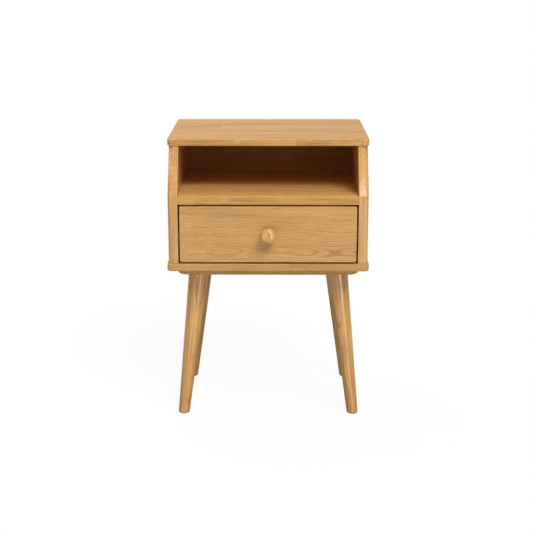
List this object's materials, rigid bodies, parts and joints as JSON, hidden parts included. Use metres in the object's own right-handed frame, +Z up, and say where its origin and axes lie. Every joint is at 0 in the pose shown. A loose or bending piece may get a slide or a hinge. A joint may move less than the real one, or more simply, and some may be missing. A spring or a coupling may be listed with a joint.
{
  "type": "nightstand",
  "caption": "Oak nightstand with an open compartment above an inset drawer on splayed tapered legs; the drawer slides out on ball-bearing slides.",
  "frame": {"origin": "middle of the bounding box, on the floor under the feet", "axes": "+Z up, the drawer opens towards -Y, +X to the right as seen from the front"},
  "size_m": [0.43, 0.3912, 0.619],
  "materials": {
    "oak": "clear satin lacquer, fine straight grain",
    "oak_turned": "clear satin lacquer, grain along the turned piece",
    "oak_back_panel": "oak-faced sheet, satin lacquer",
    "birch_plywood": "pale birch, thin matt lacquer",
    "dowel_beech": "raw beech",
    "zinc_steel": "bright zinc plate"
  },
  "bodies": {
    "case": {"back_panel": "oak_back_panel", "base_panel": "oak", "front_left_hanger_bolt": "zinc_steel", "front_left_leg": "oak_turned", "front_left_plate_screw": "zinc_steel", "front_left_tee_nut": "zinc_steel", "front_right_hanger_bolt": "zinc_steel", "front_right_leg": "oak_turned", "front_right_plate_screw": "zinc_steel", "front_right_tee_nut": "zinc_steel", "left_front_base_screw": "zinc_steel", "left_front_cabinet_slide_screw": "zinc_steel", "left_front_shelf_dowel": "dowel_beech", "left_front_top_dowel": "dowel_beech", "left_rear_base_screw": "zinc_steel", "left_rear_cabinet_slide_screw": "zinc_steel", "left_rear_shelf_dowel": "dowel_beech", "left_rear_top_dowel": "dowel_beech", "left_side_panel": "oak", "left_slide_cabinet_member": "zinc_steel", "leg_mounting_plate": "oak", "middle_shelf": "oak", "rear_left_hanger_bolt": "zinc_steel", "rear_left_leg": "oak_turned", "rear_left_plate_screw": "zinc_steel", "rear_left_tee_nut": "zinc_steel", "rear_right_hanger_bolt": "zinc_steel", "rear_right_leg": "oak_turned", "rear_right_plate_screw": "zinc_steel", "rear_right_tee_nut": "zinc_steel", "right_front_base_screw": "zinc_steel", "right_front_cabinet_slide_screw": "zinc_steel", "right_front_shelf_dowel": "dowel_beech", "right_front_top_dowel": "dowel_beech", "right_rear_base_screw": "zinc_steel", "right_rear_cabinet_slide_screw": "zinc_steel", "right_rear_shelf_dowel": "dowel_beech", "right_rear_top_dowel": "dowel_beech", "right_side_panel": "oak", "right_slide_cabinet_member": "zinc_steel", "top_panel": "oak"},
    "drawer": {"drawer_front": "oak", "drawer_box_front": "birch_plywood", "drawer_left_side": "birch_plywood", "drawer_right_side": "birch_plywood", "drawer_back": "birch_plywood", "drawer_bottom": "birch_plywood", "drawer_knob": "oak_turned", "knob_screw": "zinc_steel", "drawer_front_left_screw": "zinc_steel", "drawer_front_right_screw": "zinc_steel", "left_slide_drawer_member": "zinc_steel", "right_slide_drawer_member": "zinc_steel", "left_front_drawer_slide_screw": "zinc_steel", "left_rear_drawer_slide_screw": "zinc_steel", "right_front_drawer_slide_screw": "zinc_steel", "right_rear_drawer_slide_screw": "zinc_steel"},
    "left_slide_middle": {"left_slide_middle_member": "zinc_steel"},
    "right_slide_middle": {"right_slide_middle_member": "zinc_steel"}
  },
  "joints": [
    {"name": "drawer_slide", "type": "slide", "parent": "case", "child": "drawer", "axis": [0, -1, 0], "range_m": [0, 0.25]},
    {"name": "left_slide_travel", "type": "slide", "parent": "case", "child": "left_slide_middle", "axis": [0, -1, 0], "range_m": [0, 0.125]},
    {"name": "right_slide_travel", "type": "slide", "parent": "case", "child": "right_slide_middle", "axis": [0, -1, 0], "range_m": [0, 0.125]}
  ],
  "couplings": [
    {"joint": "left_slide_travel", "follows": "drawer_slide", "ratio": 0.5},
    {"joint": "right_slide_travel", "follows": "drawer_slide", "ratio": 0.5}
  ]
}
